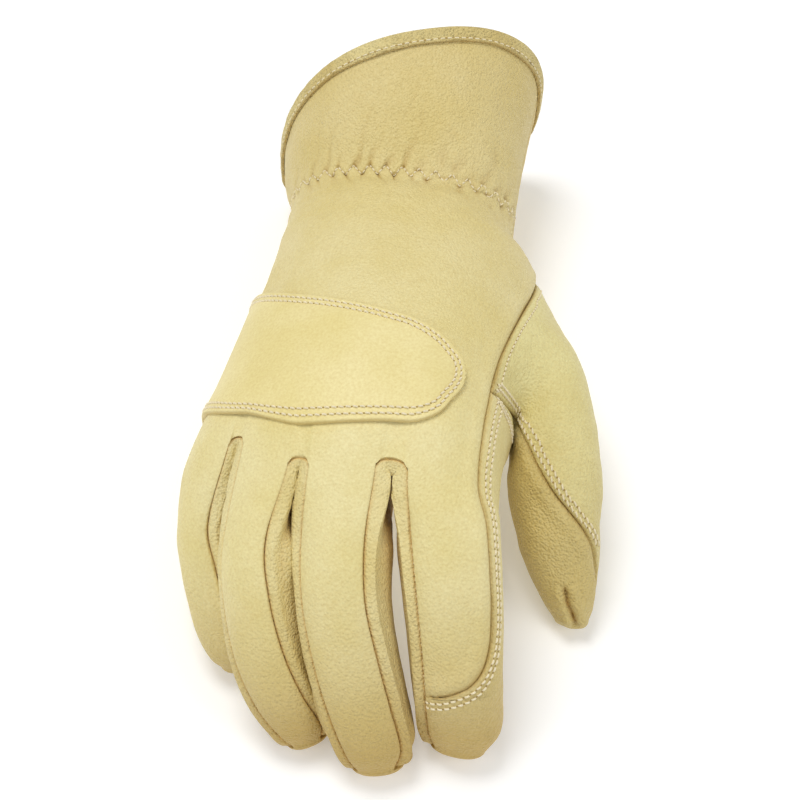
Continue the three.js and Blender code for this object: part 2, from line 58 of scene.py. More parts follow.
# at, centre x y z, half width, half height, yaw, pitch, roll
DIGITS = {
    "index": np.array([
        [200, 22.6, -43.4, 52, 15.9, 14, 12, 29, -3], [218, 26.6, -59.4, 43, 15.4, 13.8, 14, 33, -3],
        [233, 29.4, -70.6, 34, 14.7, 13.2, 15, 41, -3], [250, 33.1, -83.1, 22, 14, 12, 12, 48, -2],
        [261, 35.1, -89.3, 12.5, 12.8, 9.8, 5, 54, 0], [268, 34.9, -93.6, 6.6, 9, 6.2, -2, 54, 0]]),
    "middle": np.array([
        [200, -8, -52.9, 49, 15, 13.5, 13, 27, 14], [218, -5.2, -68.2, 41, 14.5, 13.3, 16, 32, 14],
        [233, -0.6, -80.7, 31, 14.3, 12.8, 23, 39, 12], [250, 4.8, -91.2, 20.5, 13.7, 12, 26, 44, 10],
        [261, 9.7, -99.1, 10.5, 12.3, 9.8, 24, 50, 6], [268, 11.2, -103.4, 5.6, 8.6, 6, 18, 52, 4]]),
    "ring": np.array([
        [200, -33.8, -54.5, 44, 12.4, 12.2, 12, 28, 30], [218, -30.7, -69.3, 36, 12.5, 12.2, 17, 31, 28],
        [233, -26.2, -81.5, 27, 12.2, 11.8, 26, 37, 24], [250, -20.5, -90.7, 18, 11.2, 11, 35, 44, 18],
        [261, -14.9, -95.5, 9.5, 9.8, 9, 38, 50, 12], [268, -12.6, -98.4, 5.2, 7, 5.6, 36, 52, 8]]),
    "little": np.array([
        [196, -53.8, -43.9, 30.4, 11.2, 11.6, 18, 24, 44], [210, -50.4, -54.7, 25, 11.2, 11.2, 21, 28, 42],
        [222, -46.4, -64.4, 18.6, 11, 10.6, 24, 35, 38], [232, -42.9, -71.4, 12.6, 10.2, 9.6, 24, 43, 32],
        [239, -40.5, -75.3, 8.2, 8.8, 8, 23, 52, 26], [245, -39.6, -77.3, 5.2, 6, 5, 21, 56, 22]]),
    "thumb": np.array([
        [24, 45.4, 24.4, 34, 18.2, 18.5, 61, 4, 0], [46, 50.6, 8.3, 32, 15.2, 16.5, 28, 12, 0],
        [68, 54.2, -10, 26, 15.6, 15, 9, 18, 0], [84, 57.5, -24, 19, 13, 12.8, 10, 22, 0],
        [96, 61, -34, 12.6, 10, 10, 8, 24, 0], [104, 63.6, -40.7, 9, 7.5, 7.2, 8, 26, 0],
        [109, 64.8, -44.2, 6.6, 4.8, 4.4, 6, 28, 0]]),
}
FINGERS = ["index", "middle", "ring", "little"]
ROOT = 176.0          # length at which the hand's last section meets the fingers
THUMB_END = 109.0
# y of the root line at both edges of each strip, and how far the slit's round end reaches past it
BACK_ARCH = {"index": [-32, -35.5], "middle": [-35.5, -38], "ring": [-38, -29], "little": [-29, -30]}
SIDE_ARCH = [-30, -32]
PALM_ARCH = {"little": [-32, -26], "ring": [-26, -32], "middle": [-32, -27], "index": [-27, -30]}
SLIT_DEPTH = 3.0
SEAM_START, SEAM_END = 80.0, 142.0
TIP_BULGE = 3.2
# edges of each finger's strip: angles on the hand's sections, then on the finger's own
TOP_STRIP = {"index": [42, 89.8], "middle": [95, 110.2], "ring": [115.4, 131.8], "little": [137, 172]}
BOTTOM_STRIP = {"little": [222, 266], "ring": [271, 280.5], "middle": [283.5, 302], "index": [305.5, 324]}
SIDE_STRIP = [172, 222]
EDGE_ON_DIGIT = {"index": [47, 140], "middle": [55, 140], "ring": [56, 140], "little": [52, 140]}
SIDE_ON_DIGIT = [140, 220]
LOW_EDGE = {"index": 45, "middle": 40, "ring": 40, "little": 40}
WRAP_ON_HAND, WRAP_ARCH = [-36, 42], [-30, -32]
# angles of the two thumb seams, section by section
THUMB_SEAM_TOP = [165, 160, 137, 98, 46, 2, -28, -42]
THUMB_SEAM_LOW = [0, -15, -30, -46, -62, -76, -86, -92]


def blunt(v):
    """A cosine or sine raised to the section's power, sign kept."""
    return np.sign(v) * np.abs(v) ** ROUNDNESS


def hand_stations(angle):
    """Points (station, ...) of all hand sections at an angle: quarter curves through four extreme points."""
    angle = np.asarray(angle, float)
    c, s = blunt(np.cos(np.radians(angle))), blunt(np.sin(np.radians(angle)))
    columns = [HAND[:, k].reshape(-1, *[1] * angle.ndim) for k in range(1, HAND.shape[1])]
    y0, slant, lean, xl, zl, xt, zt, xr, zr, xb, zb, hollow = columns
    xm, zm = np.where(s > 0, xt, xb), np.where(c > 0, zr, zl)
    x = xm + c * np.where(c > 0, xr - xm, xm - xl)
    z = zm + s * np.where(s > 0, zt - zm, zm - zb)
    z = z + np.where((s < 0) & (c > 0), 4 * hollow * c * (1 - c), 0)
    return np.stack([x, y0 + slant * x + lean * z, z], -1)


def digit_axes(name):
    """Across, up and along directions (station, 3) of a digit's sections from yaw, pitch and roll."""
    yaw, pitch, roll = np.radians(DIGITS[name][:, 6:9].T)
    along = np.stack([np.sin(yaw) * np.cos(pitch), -np.cos(yaw) * np.cos(pitch), -np.sin(pitch)], -1)
    flat = np.stack([np.cos(yaw), np.sin(yaw), 0 * yaw], -1)
    across = flat * np.cos(roll)[:, None] + np.cross(along, flat) * np.sin(roll)[:, None]
    return across, np.cross(along, across), along


def digit_stations(name, angle):
    """Points (station, ...) of a digit's sections: centre + across*half width*cos + up*half height*sin."""
    angle = np.asarray(angle, float)
    table = DIGITS[name]
    angle = np.broadcast_to(angle, (len(table), *angle.shape[-2:]))
    across, up, _ = digit_axes(name)
    def spread(v):
        """Values per station, ready to meet a grid of angles."""
        return v.reshape(len(table), 1, 1, -1)
    c = blunt(np.cos(np.radians(angle)))[..., None]
    s = blunt(np.sin(np.radians(angle)))[..., None]
    return spread(table[:, 1:4]) + spread(across * table[:, 4:5]) * c + spread(up * table[:, 5:6]) * s


def curve_through(at, stations, s):
    """Cubic Hermite curve through stations (K, ..., 3) at lengths at, slopes from the two neighbours."""
    last = len(at) - 1
    before, after = np.maximum(np.arange(last + 1) - 1, 0), np.minimum(np.arange(last + 1) + 1, last)
    gap = (at[after] - at[before]).reshape(-1, *[1] * (stations.ndim - 1))
    slopes = (stations[after] - stations[before]) / gap
    s = np.broadcast_to(s, stations.shape[1:-1])
    k = np.clip(np.searchsorted(at, s, side="left") - 1, 0, last - 1)
    h = (at[k + 1] - at[k])[..., None]
    t = ((s - at[k])[..., None]) / h
    def pick(values, which):
        """Each point's value at its own station."""
        return np.take_along_axis(values, which[None, ..., None], axis=0)[0]
    return (pick(stations, k) * (2 * t**3 - 3 * t**2 + 1) + pick(slopes, k) * h * (t**3 - 2 * t**2 + t)
            + pick(stations, k + 1) * (3 * t**2 - 2 * t**3) + pick(slopes, k + 1) * h * (t**3 - t**2))


def skin(s, hand_angle, digit=None, digit_angle=None, arch=None):
    """Skin point at length s and angle, hand sections run on into a digit's; arch is the root's own y."""
    s, hand_angle = np.broadcast_arrays(np.asarray(s, float), np.asarray(hand_angle, float))
    stations, at = hand_stations(hand_angle), HAND[:, 0]
    if arch is not None:
        stations[-1, ..., 1] = arch
    if digit:
        on_digit = digit_stations(digit, np.broadcast_to(digit_angle, s.shape))
        stations, at = np.concatenate([stations, on_digit]), np.concatenate([at, DIGITS[digit][:, 0]])
    return curve_through(at, stations, s)


def mix(a, b, t):
    """From a to b by the share t."""
    return a + (b - a) * t


def clamp(v):
    """Values held between 0 and 1."""
    return np.clip(v, 0, 1)


def opening_edge(s, end):
    """Angle of the thumb opening's edge: 2 degrees at its start, drawing apart to end at the crotch."""
    u = clamp((s - SEAM_START) / (SEAM_END - SEAM_START))
    return 2 + (end - 2) * (1 - (1 - u) ** 2.2)


def seam_left(s):
    """Angle of the left side seam: 205 degrees up to length 108, 222 at the finger roots."""
    return mix(205, 222, clamp((s - 108) / 68))


def back_angle(hand, s):
    """Angle of a back column at s: it fans from the thumb opening and from the left side seam."""
    fan = mix(opening_edge(s, 42), 89.8, (hand - 42) / 47.8)
    side = mix(SIDE_STRIP[0], seam_left(s), (hand - SIDE_STRIP[0]) / (SIDE_STRIP[1] - SIDE_STRIP[0]))
    return np.where(hand <= 89.8, fan, np.where(hand > SIDE_STRIP[0], side, hand))


def palm_angle(hand, s):
    """Angle of a palm column at s: evenly between the left side seam and the thumb opening."""
    return mix(seam_left(s), opening_edge(s, -36) + 360, (hand - SIDE_STRIP[1]) / 102)


def close_at_seams(width, fine=(0.3, 0.65, 1.1, 1.7, 2.4)):
    """Fractions across a strip of that width: close together by both seams, about 1 mm apart between."""
    fine = np.array(fine)
    inner = np.linspace(3.3, width - 3.3, max(int(width - 6.6) + 1, 2))
    return np.concatenate([[0], fine, inner, width - fine[::-1], [width]]) / width


ACROSS = {"index": close_at_seams(25), "middle": close_at_seams(25), "ring": close_at_seams(22),
          "little": close_at_seams(20)}
SIDE_ACROSS = close_at_seams(17)
WALL_ACROSS = close_at_seams(19)
SLIT_ACROSS = np.linspace(0, 1, 9)
# start, end and number of rows of each evenly spaced run on the hand, closest at the gathers
HAND_RUNS = [(0, 40, 39), (40, 58, 31), (58, SEAM_START, 22), (SEAM_START, SEAM_END, 61),
             (SEAM_END, ROOT, 34)]
HAND_ROWS = np.unique(np.concatenate([np.linspace(*run) for run in HAND_RUNS]))
WRAP_CORNER = (222.0, 247.5)      # where the side piece's edge leaves the finger's side and meets the seam


def finger_rows(name):
    """Lengths of a finger's rows, 1.05 mm apart, and closer before the corner of the side piece."""
    end = DIGITS[name][-1, 0]
    rows = np.linspace(ROOT, end, int((end - ROOT) / 1.05) + 1)
    if name == "index":
        close = WRAP_CORNER[1] - np.array([1.2, 0.6, 0.25, 0])
        rows = np.concatenate([rows[rows < close[0]], close, np.linspace(WRAP_CORNER[1] + 1, end, 20)])
    return rows


def strip_columns(name, rows, bottom=False):
    """Grid (column, row) of one finger's strip and its run on the hand, top or bottom."""
    f = ACROSS[name][:, None]
    edges = BOTTOM_STRIP[name] if bottom else TOP_STRIP[name]
    ends = [SIDE_ON_DIGIT[1], 360 - LOW_EDGE[name]] if bottom else EDGE_ON_DIGIT[name]
    arches = PALM_ARCH[name] if bottom else BACK_ARCH[name]
    s = np.broadcast_to(rows, (len(f), len(rows)))
    angle = (palm_angle if bottom else back_angle)(mix(*edges, f), s)
    return skin(s, angle, name, mix(*ends, f) + 0 * s, mix(*arches, f)), s, angle


def slit_columns(first, second, bottom=False):
    """Columns between two strips; the root line is a half round, deepest in the middle."""
    f = SLIT_ACROSS[:, None]
    edges, arches = (BOTTOM_STRIP, PALM_ARCH) if bottom else (TOP_STRIP, BACK_ARCH)
    s = np.broadcast_to(HAND_ROWS, (len(f), len(HAND_ROWS)))
    hand = mix(edges[first][1], edges[second][0], f)
    arch = mix(arches[first][1], arches[second][0], f) + SLIT_DEPTH * np.sqrt(1 - (2 * f - 1) ** 2)
    angle = (palm_angle if bottom else back_angle)(hand, s)
    grid = skin(s, angle, None, None, arch)
    left = strip_columns(first, HAND_ROWS, bottom)[0][-1]
    right = strip_columns(second, HAND_ROWS, bottom)[0][0]
    f = f[..., None]
    return grid + (left - grid[0]) * (1 - f) ** 2.5 + (right - grid[-1]) * f**2.5, s, angle


def side_columns(rows):
    """Grid of the strip by the left side seam, run on into the little finger's outer side."""
    f = SIDE_ACROSS[:, None]
    s = np.broadcast_to(rows, (len(f), len(rows)))
    angle = back_angle(mix(*SIDE_STRIP, f), s)
    return skin(s, angle, "little", mix(*SIDE_ON_DIGIT, f) + 0 * s, mix(*SIDE_ARCH, f)), s, angle


def wall_columns(name, left):
    """Side wall of a finger, from its back edge to its palm edge; the root is a straight line between."""
    f = WALL_ACROSS[:, None]
    rows = finger_rows(name)
    s = np.broadcast_to(rows, (len(f), len(rows)))
    ends = (1, 0) if left else (0, 1)
    high = hand_stations(back_angle(TOP_STRIP[name][ends[0]], s) + 0 * s)
    low = hand_stations(palm_angle(BOTTOM_STRIP[name][ends[1]], s) + 0 * s)
    high[-1, ..., 1], low[-1, ..., 1] = BACK_ARCH[name][ends[0]], PALM_ARCH[name][ends[1]]
    to = SIDE_ON_DIGIT[1] if left else -LOW_EDGE[name]
    on_digit = digit_stations(name, mix(EDGE_ON_DIGIT[name][ends[0]], to, f) + 0 * s)
    stations = np.concatenate([mix(high, low, f[None, ..., None]), on_digit])
    at = np.concatenate([HAND[:, 0], DIGITS[name][:, 0]])
    return curve_through(at, stations, s), s, mix(90.0, 270.0, f) + 0 * s


blocks = []


def cut(owner, grid, s, angle):
    """Adds a grid of skin points (column, row) to the panel that owns it; quads face outwards."""
    blocks.append((owner, grid, np.broadcast_to(s, grid.shape[:2]), np.broadcast_to(angle, grid.shape[:2])))


# hand: the back from the thumb opening round to the left seam, then the palm
for owner, order, bottom in (("back_panel", FINGERS, False), ("palm_panel", FINGERS[::-1], True)):
    for name, after in zip(order, [*order[1:], None]):
        cut(owner, *strip_columns(name, HAND_ROWS, bottom))
        if after:
            cut(owner, *slit_columns(name, after, bottom))
    if not bottom:
        cut(owner, *side_columns(HAND_ROWS))

# fingers: top and bottom strips; the index finger's top ends at the side piece's rounded corner
for name in FINGERS:
    rows = finger_rows(name)
    cut("palm_panel", *strip_columns(name, rows, True))
    if name != "index":
        cut("back_panel", *strip_columns(name, rows))
cut("back_panel", *side_columns(finger_rows("little")))


def wrap_edge(s):
    """Angle on the index finger of the side piece's edge: a blunt quarter round from 47 to 140 degrees."""
    t = clamp((s - WRAP_CORNER[0]) / (WRAP_CORNER[1] - WRAP_CORNER[0]))
    return mix(*EDGE_ON_DIGIT["index"], 1 - (1 - t**2.6) ** (1 / 2.6))


index_rows = finger_rows("index")
corner = int(np.argmin(np.abs(index_rows - WRAP_CORNER[1])))
f = ACROSS["index"][:, None]
s = np.broadcast_to(index_rows[:corner + 1], (len(f), corner + 1))
edge_angle = mix(wrap_edge(s), EDGE_ON_DIGIT["index"][1], f)
hand_angle = mix(*TOP_STRIP["index"], (edge_angle - 47) / 93)
index_top = skin(s, back_angle(hand_angle, s), "index", edge_angle, mix(*BACK_ARCH["index"], f))
cut("back_panel", index_top, s, hand_angle)

# index side piece: thumb crotch to fingertip, all round the tip beyond the corner
WRAP_ACROSS = close_at_seams(28)
wrap_rows = np.concatenate([HAND_ROWS[HAND_ROWS >= SEAM_END], index_rows[1:]])
f = WRAP_ACROSS[:, None]
s = np.broadcast_to(wrap_rows, (len(f), len(wrap_rows)))
wrap_high = np.where(s > index_rows[corner] - 1e-6, 140, wrap_edge(s))
wrap_hand = mix(*WRAP_ON_HAND, f)
wrap_digit = mix(-LOW_EDGE["index"], wrap_high, f)
index_wrap_grid = skin(s, wrap_hand + 0 * s, "index", wrap_digit, mix(*WRAP_ARCH, f))
cut("index_wrap", index_wrap_grid, s, wrap_hand)

# the walls between the fingers, with the web at their root
for a, b in zip(FINGERS, FINGERS[1:]):
    panel_name = f"fourchette_{a}_{b}"
    wall_a, s_a, angle_a = wall_columns(a, True)
    wall_b, s_b, angle_b = wall_columns(b, False)
    cut(panel_name, wall_a, s_a, angle_a)
    cut(panel_name, wall_b[::-1], s_b[::-1], angle_b[::-1])
    upper = slit_columns(a, b)[0][:, -1]
    lower = slit_columns(b, a, True)[0][::-1, -1]
    web = mix(upper[:, None], lower[:, None], WALL_ACROSS[None, :, None])
    web[0], web[-1] = wall_a[:, 0], wall_b[:, 0]
    cut(panel_name, web[::-1, ::-1], ROOT, 180.0)

# thumb: its root follows the opening, then its own sections to the tip
opening = HAND_ROWS[(HAND_ROWS >= SEAM_START) & (HAND_ROWS <= SEAM_END)]
rim_top = strip_columns("index", opening)[0][0]
rim_low = strip_columns("index", opening, True)[0][-1]
rim_front = index_wrap_grid[::-1, 0]
share_top = np.interp(opening, [SEAM_START, 108, SEAM_END], [0, 3 / 7, 1])
share_low = np.interp(opening, [SEAM_START, 108, SEAM_END], [1, 8 / 11, 4 / 11])
thumb_at = np.concatenate([[0], DIGITS["thumb"][:, 0]])
thumb_rows = np.linspace(0, THUMB_END, 105)


def thumb_columns(rim, share, outer):
    """Thumb columns from rim points to the tip; share places each between the two thumb seams."""
    hi, lo = (np.array(t[1:], float)[:, None, None] for t in (THUMB_SEAM_TOP, THUMB_SEAM_LOW))
    f = share[None, :, None]
    angle = mix(lo, hi, f) if outer else mix(hi, lo + 360, f)
    stations = np.concatenate([rim[None, :, None], digit_stations("thumb", angle)])
    stations = np.broadcast_to(stations, (len(stations), len(rim), len(thumb_rows), 3))
    return curve_through(thumb_at, stations, np.broadcast_to(thumb_rows, (len(rim), len(thumb_rows))))


thumb_outer = thumb_columns(rim_top, share_top, True)
front_share = np.interp(WRAP_ACROSS, [0, 1], [0, 4 / 11])
thumb_inner = thumb_columns(np.concatenate([rim_front, rim_low[::-1][1:]]),
                            np.concatenate([front_share, share_low[::-1][1:]]), False)
thumb_inner[-1], thumb_inner[0] = thumb_outer[0], thumb_outer[-1]
cut("thumb_back", thumb_outer, thumb_rows, share_top[:, None] * 100)
cut("thumb_front", thumb_inner, thumb_rows, 200.0)


def close_tip(owner, digit, edge, s, angle, reach=TIP_BULGE):
    """Dome over a digit's last section: rings scaled by cos t and pushed out by sin t."""
    centre = DIGITS[digit][-1, 1:4]
    along = digit_axes(digit)[2][-1]
    t = np.linspace(0, np.pi / 2, 9)
    dome = (centre + (edge[:, None] - centre) * np.cos(t)[None, :, None]
            + along * (reach * np.sin(t))[None, :, None])
    cut(owner, dome, s, angle)


for name in FINGERS:
    rows = finger_rows(name)
    right = index_wrap_grid[:, -1] if name == "index" else wall_columns(name, False)[0][::-1, -1]
    over = [] if name == "index" else [strip_columns(name, rows)[0][1:, -1]]
    left = side_columns(rows)[0][:, -1] if name == "little" else wall_columns(name, True)[0][:, -1]
    below = strip_columns(name, rows, True)[0][:, -1]
    ring = np.concatenate([right, *over, left[1:], below[1:]])
    close_tip("index_wrap" if name == "index" else "back_panel", name, ring, rows[-1], 90.0)
thumb_ring = np.concatenate([thumb_outer[:, -1], thumb_inner[1:, -1]])
close_tip("thumb_front", "thumb", thumb_ring, THUMB_END, 200.0, 1.4)


def grid_quads(ids):
    """Quads (N, 4) of a grid of point numbers."""
    return np.stack([ids[:-1, :-1], ids[1:, :-1], ids[1:, 1:], ids[:-1, 1:]], -1).reshape(-1, 4)


# the blocks are welded where they meet, and every point gets its outward direction
points = np.concatenate([b[1].reshape(-1, 3) for b in blocks])
points[:, 2] = np.maximum(points[:, 2], 0)
lengths = np.concatenate([b[2].ravel() for b in blocks])
angles = np.concatenate([b[3].ravel() for b in blocks])
WELD = 200            # points that agree to 1/200 mm are one
grain = np.round(points * WELD).astype(np.int64) + 2**18
_, first, place = np.unique((grain[:, 0] << 40) + (grain[:, 1] << 20) + grain[:, 2], return_index=True,
                            return_inverse=True)
points, lengths, angles = points[first], lengths[first], angles[first]
faces, owners, start = [], [], 0
names = sorted({b[0] for b in blocks})
for owner, grid, _, _ in blocks:
    columns, rows_n = grid.shape[:2]
    ids = place[start:start + columns * rows_n].reshape(columns, rows_n)
    start += columns * rows_n
    faces.append(grid_quads(ids))
    owners.append(np.full(len(faces[-1]), names.index(owner)))
faces, owners = np.concatenate(faces), np.concatenate(owners)
corners = points[faces]
turned = np.cross(corners[:, 2] - corners[:, 0], corners[:, 3] - corners[:, 1])
summed = [np.bincount(faces.ravel(), np.repeat(turned[:, k], 4), len(points)) for k in range(3)]
normals = np.stack(summed, -1)
normals /= np.linalg.norm(normals, axis=1, keepdims=True) + 1e-12


def nearest(targets, source, chunk=4000):
    """Distance from each source point to the nearest target, and that target's number."""
    best, which = np.empty(len(source)), np.empty(len(source), int)
    t = targets.astype(np.float32)
    for k in range(0, len(source), chunk):
        part = source[k:k + chunk].astype(np.float32)
        square = (part**2).sum(1)[:, None] + (t**2).sum(1)[None] - 2 * part @ t.T
        which[k:k + chunk] = square.argmin(1)
        best[k:k + chunk] = np.sqrt(np.maximum(square.min(1), 0))
    return best, which


def border_of(quads):
    """Directed edges (a, b) of the quads that no neighbour shares."""
    a, b = quads.ravel(), np.roll(quads, -1, axis=1).ravel()
    real = a != b
    a, b = a[real], b[real]
    n = len(points)
    lone = ~np.isin(a * n + b, b * n + a)
    return a[lone], b[lone]


def ripple(p, wavelength, seed, waves=7):
    """Soft uneven relief from -1 to 1: a sum of plane waves in seeded directions."""
    rng = np.random.default_rng(seed)
    way = rng.normal(size=(waves, 3))
    pitch = 2 * np.pi / wavelength * rng.uniform(0.7, 1.5, (waves, 1))
    way *= pitch / np.linalg.norm(way, axis=1, keepdims=True)
    return np.sin(p @ way.T + rng.uniform(0, 7, waves)).sum(1) / (0.62 * waves)


def bell(d, width):
    """Bell curve of a distance: 1 at 0, and 0.37 at the width."""
    return np.exp(-(d / width) ** 2)


def rounded_off(d, radius):
    """Drop of a quarter round at a distance from its edge, as a share: 1 at the edge, 0 at the radius."""
    return 1 - np.sqrt(1 - (1 - clamp(d / radius)) ** 2)


def hex_colour(code):
    """sRGB hex to the linear RGBA that the shader reads."""
    v = np.array([int(code[k:k + 2], 16) for k in (1, 3, 5)]) / 255
    return [*np.where(v <= 0.04045, v / 12.92, ((v + 0.055) / 1.055) ** 2.4), 1.0]


def node(tree, kind, settings=(), **inputs):
    """Adds one node; inputs are values or sockets, by name with _ for a space, or by n and a number."""
    made = tree.nodes.new(kind)
    for key, value in dict(settings).items():
        setattr(made, key, value)
    for key, value in inputs.items():
        numbered = key[0] == "n" and key[1:].isdigit()
        socket = made.inputs[int(key[1:]) if numbered else key.replace("_", " ")]
        if isinstance(value, bpy.types.NodeSocket):
            tree.links.new(value, socket)
        else:
            socket.default_value = value
    return made


def blend(tree, share, under, over):
    """Colour mixed from under to over by a share; each is a value or another node's socket."""
    return node(tree, "ShaderNodeMix", {"data_type": "RGBA"}, n0=share, n6=under, n7=over).outputs[2]


def painted(tree, name):
    """Socket of a value that the mesh carries at its points."""
    return node(tree, "ShaderNodeAttribute", {"attribute_name": name}).outputs["Fac"]


def material_of(name, **inputs):
    """New material, its node tree and its shader, with the shader's inputs set by name with _ for a space."""
    material = bpy.data.materials.new(name)
    material.use_nodes = True
    shader = material.node_tree.nodes["Principled BSDF"]
    for key, value in inputs.items():
        shader.inputs[key.replace("_", " ")].default_value = value
    return material, material.node_tree, shader


# Goatskin for work gloves: drum-dyed pale yellow, a fine pebbled grain with a waxy half-matt finish.
# Pebbles are about 0.8 mm, pores 0.4 mm; seams and creases carry painted shade, darker and warmer.
TAN = "#c7a95f"


def goatskin(name, light, deep, shade="#a67c33", pebble=0.5, rough=0.56):
    """Leather: light and deep dye in soft blotches, specks in tan, tan toward the tips that is partly the
    leather's own and partly painted shade, and painted shade in seams, creases and laps in the shade colour.
    pebble scales the grain's height, and rough is the mean roughness."""
    material, tree, shader = material_of(name, IOR=1.45, Sheen_Weight=0.06)
    place_on = node(tree, "ShaderNodeTexCoord").outputs["Object"]
    blotch = node(tree, "ShaderNodeTexNoise", Vector=place_on, Scale=38.0, Detail=4.0, Roughness=0.55)
    speck = node(tree, "ShaderNodeTexNoise", Vector=place_on, Scale=1100.0, Detail=2.0, Roughness=0.6)
    span = node(tree, "ShaderNodeMapRange", Value=blotch.outputs[0], From_Min=0.36, From_Max=0.66)
    fleck = node(tree, "ShaderNodeMapRange", Value=speck.outputs[0], From_Min=0.3, From_Max=0.7, To_Max=0.3)
    colour = blend(tree, span.outputs[0], hex_colour(light), hex_colour(deep))
    colour = blend(tree, fleck.outputs[0], colour, hex_colour(TAN))
    # tan toward the fingertips and the cuff: partly the leather's own tan, partly painted shade
    colour = blend(tree, painted(tree, "tan_and_shade"), colour, hex_colour(TAN))
    # painted shade in seams, creases and laps, in the shade colour
    colour = blend(tree, painted(tree, "painted_shade"), colour, hex_colour(shade))
    tree.links.new(colour, shader.inputs["Base Color"])
    cell = node(tree, "ShaderNodeTexVoronoi", {"feature": "SMOOTH_F1"}, Vector=place_on, Scale=1200.0,
                Smoothness=0.5)
    pore = node(tree, "ShaderNodeTexNoise", Vector=place_on, Scale=2600.0, Detail=2.0)
    depth = node(tree, "ShaderNodeMapRange", Value=painted(tree, "pebble"), To_Min=0.3 * pebble,
                 To_Max=2.2 * pebble)
    pebbled = node(tree, "ShaderNodeBump", {"invert": True}, Strength=depth.outputs[0], Distance=0.0003,
                   Height=cell.outputs["Distance"])
    pitted = node(tree, "ShaderNodeBump", Strength=0.35, Distance=0.00005, Height=pore.outputs[0],
                  Normal=pebbled.outputs[0])
    tree.links.new(pitted.outputs[0], shader.inputs["Normal"])
    worn = node(tree, "ShaderNodeMapRange", Value=speck.outputs[0], To_Min=rough - 0.07, To_Max=rough + 0.09)
    tree.links.new(worn.outputs[0], shader.inputs["Roughness"])
    return material


outer_skin = {}
SEAM_ROLL, LAP_LIFT, EDGE_ROUND = 1.1, 0.9, 0.7


def sew_panel(name, material, relief, pebble, tan_and_shade, over=(), under=(), bead=0.0):
    """A panel: outer face raised along the skin's normals, inner face LEATHER further in, cut edges between.
    Turned seams roll in over a quarter round; over and under name neighbours it laps or lies beneath;
    bead is how far it bulges just beside its seam with the back, most of all round the finger's root;
    relief gives height and painted shade at each point, and tip its share of tan, which is partly painted
    shade.
    Laps, seams and the root web add painted shade of their own."""
    quads = faces[owners == names.index(name)]
    ids = np.unique(quads)
    local = np.full(len(points), -1)
    local[ids] = np.arange(len(ids))
    a, b = border_of(quads)
    p, n = points[ids], normals[ids]
    rest = np.ones(len(a), bool)
    def edge_with(others):
        """Border edges that other panels share."""
        theirs = np.isin(np.arange(len(points)), faces[np.isin(owners, [names.index(o) for o in others])])
        return theirs[a] & theirs[b]
    height, painted_shade = relief(p, lengths[ids], angles[ids])
    for others, kind in ((over, "over"), (under, "under")):
        if others:
            mine = edge_with(others)
            rest &= ~mine
            line = np.concatenate([points[a[mine]], (points[a[mine]] + points[b[mine]]) / 2])
            d = nearest(line, p)[0]
            if kind == "over":
                t = clamp((d - 3) / 9)
                height = height + LAP_LIFT * (1 - t**2 * (3 - 2 * t)) - 0.5 * rounded_off(d, EDGE_ROUND)
                # painted shade along the lapping edge
                painted_shade = np.maximum(painted_shade, 0.25 * bell(d, 0.5))
            else:
                height = height - 0.7 * bell(d, 0.9) + 0.75 * bell(d - 3.4, 2.2)
                # painted shade where it lies beneath a neighbour's lapped edge
                painted_shade = np.maximum(painted_shade, 0.65 * bell(d, 0.62))
    if bead:
        mine = edge_with(("back_panel", "index_wrap"))
        d = nearest(points[a[mine]], p)[0]
        root = bell(lengths[ids] - 182, 15)
        height = height + bead * (1 + 1.5 * root) * bell(d - 2.2 - root, 1.7 + 1.8 * root)
        height = height + 0.2 * root * ripple(p, 4.5, 41) * clamp((d - 1) / 2)
        # painted shade deep in the web between the fingers
        painted_shade = np.maximum(painted_shade, 0.55 * clamp((d - 3.5) / 5) * bell(lengths[ids] - 190, 26))
    rim = (lengths[a] < 0.01) & (lengths[b] < 0.01) & np.isin(name, ["back_panel", "palm_panel"])
    rest &= ~rim
    line = np.concatenate([points[a[rest]], (points[a[rest]] + points[b[rest]]) / 2])
    d = nearest(line, p)[0] if len(line) else np.full(len(p), 99.0)
    height = height * clamp(d / 2.5) - SEAM_ROLL * rounded_off(d, SEAM_ROLL)
    # painted shade in the groove of the turned seam
    painted_shade = np.maximum(painted_shade, 0.6 * bell(d, 0.36))
    outer = p + n * height[:, None]
    inner = p + n * (np.minimum(height, 0.6) - LEATHER)[:, None]
    outer[:, 2], inner[:, 2] = np.maximum(outer[:, 2], 0), np.maximum(inner[:, 2], 0.4)
    outer_skin[name] = (p, outer - p, n)
    q = local[quads]
    m = len(ids)
    wall = np.stack([local[b], local[a], local[a] + m, local[b] + m], -1)
    sheets = np.concatenate([q, q[:, ::-1] + m, wall])
    # share of tan, partly painted shade
    tan_and_shade_share = tan_and_shade(p, lengths[ids])
    values = {"painted_shade": painted_shade, "pebble": clamp(pebble + tan_and_shade_share), "tan_and_shade": tan_and_shade_share}
    obj = solid_mesh(name + "_leather", np.concatenate([outer, inner]), sheets, material,
                     {k: np.concatenate([v, v]) for k, v in values.items()})
    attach(obj, "root")
    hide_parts(name)


def linked(name, data):
    """New object of that data in the scene."""
    obj = bpy.data.objects.new(name, data)
    bpy.context.scene.collection.objects.link(obj)
    return obj


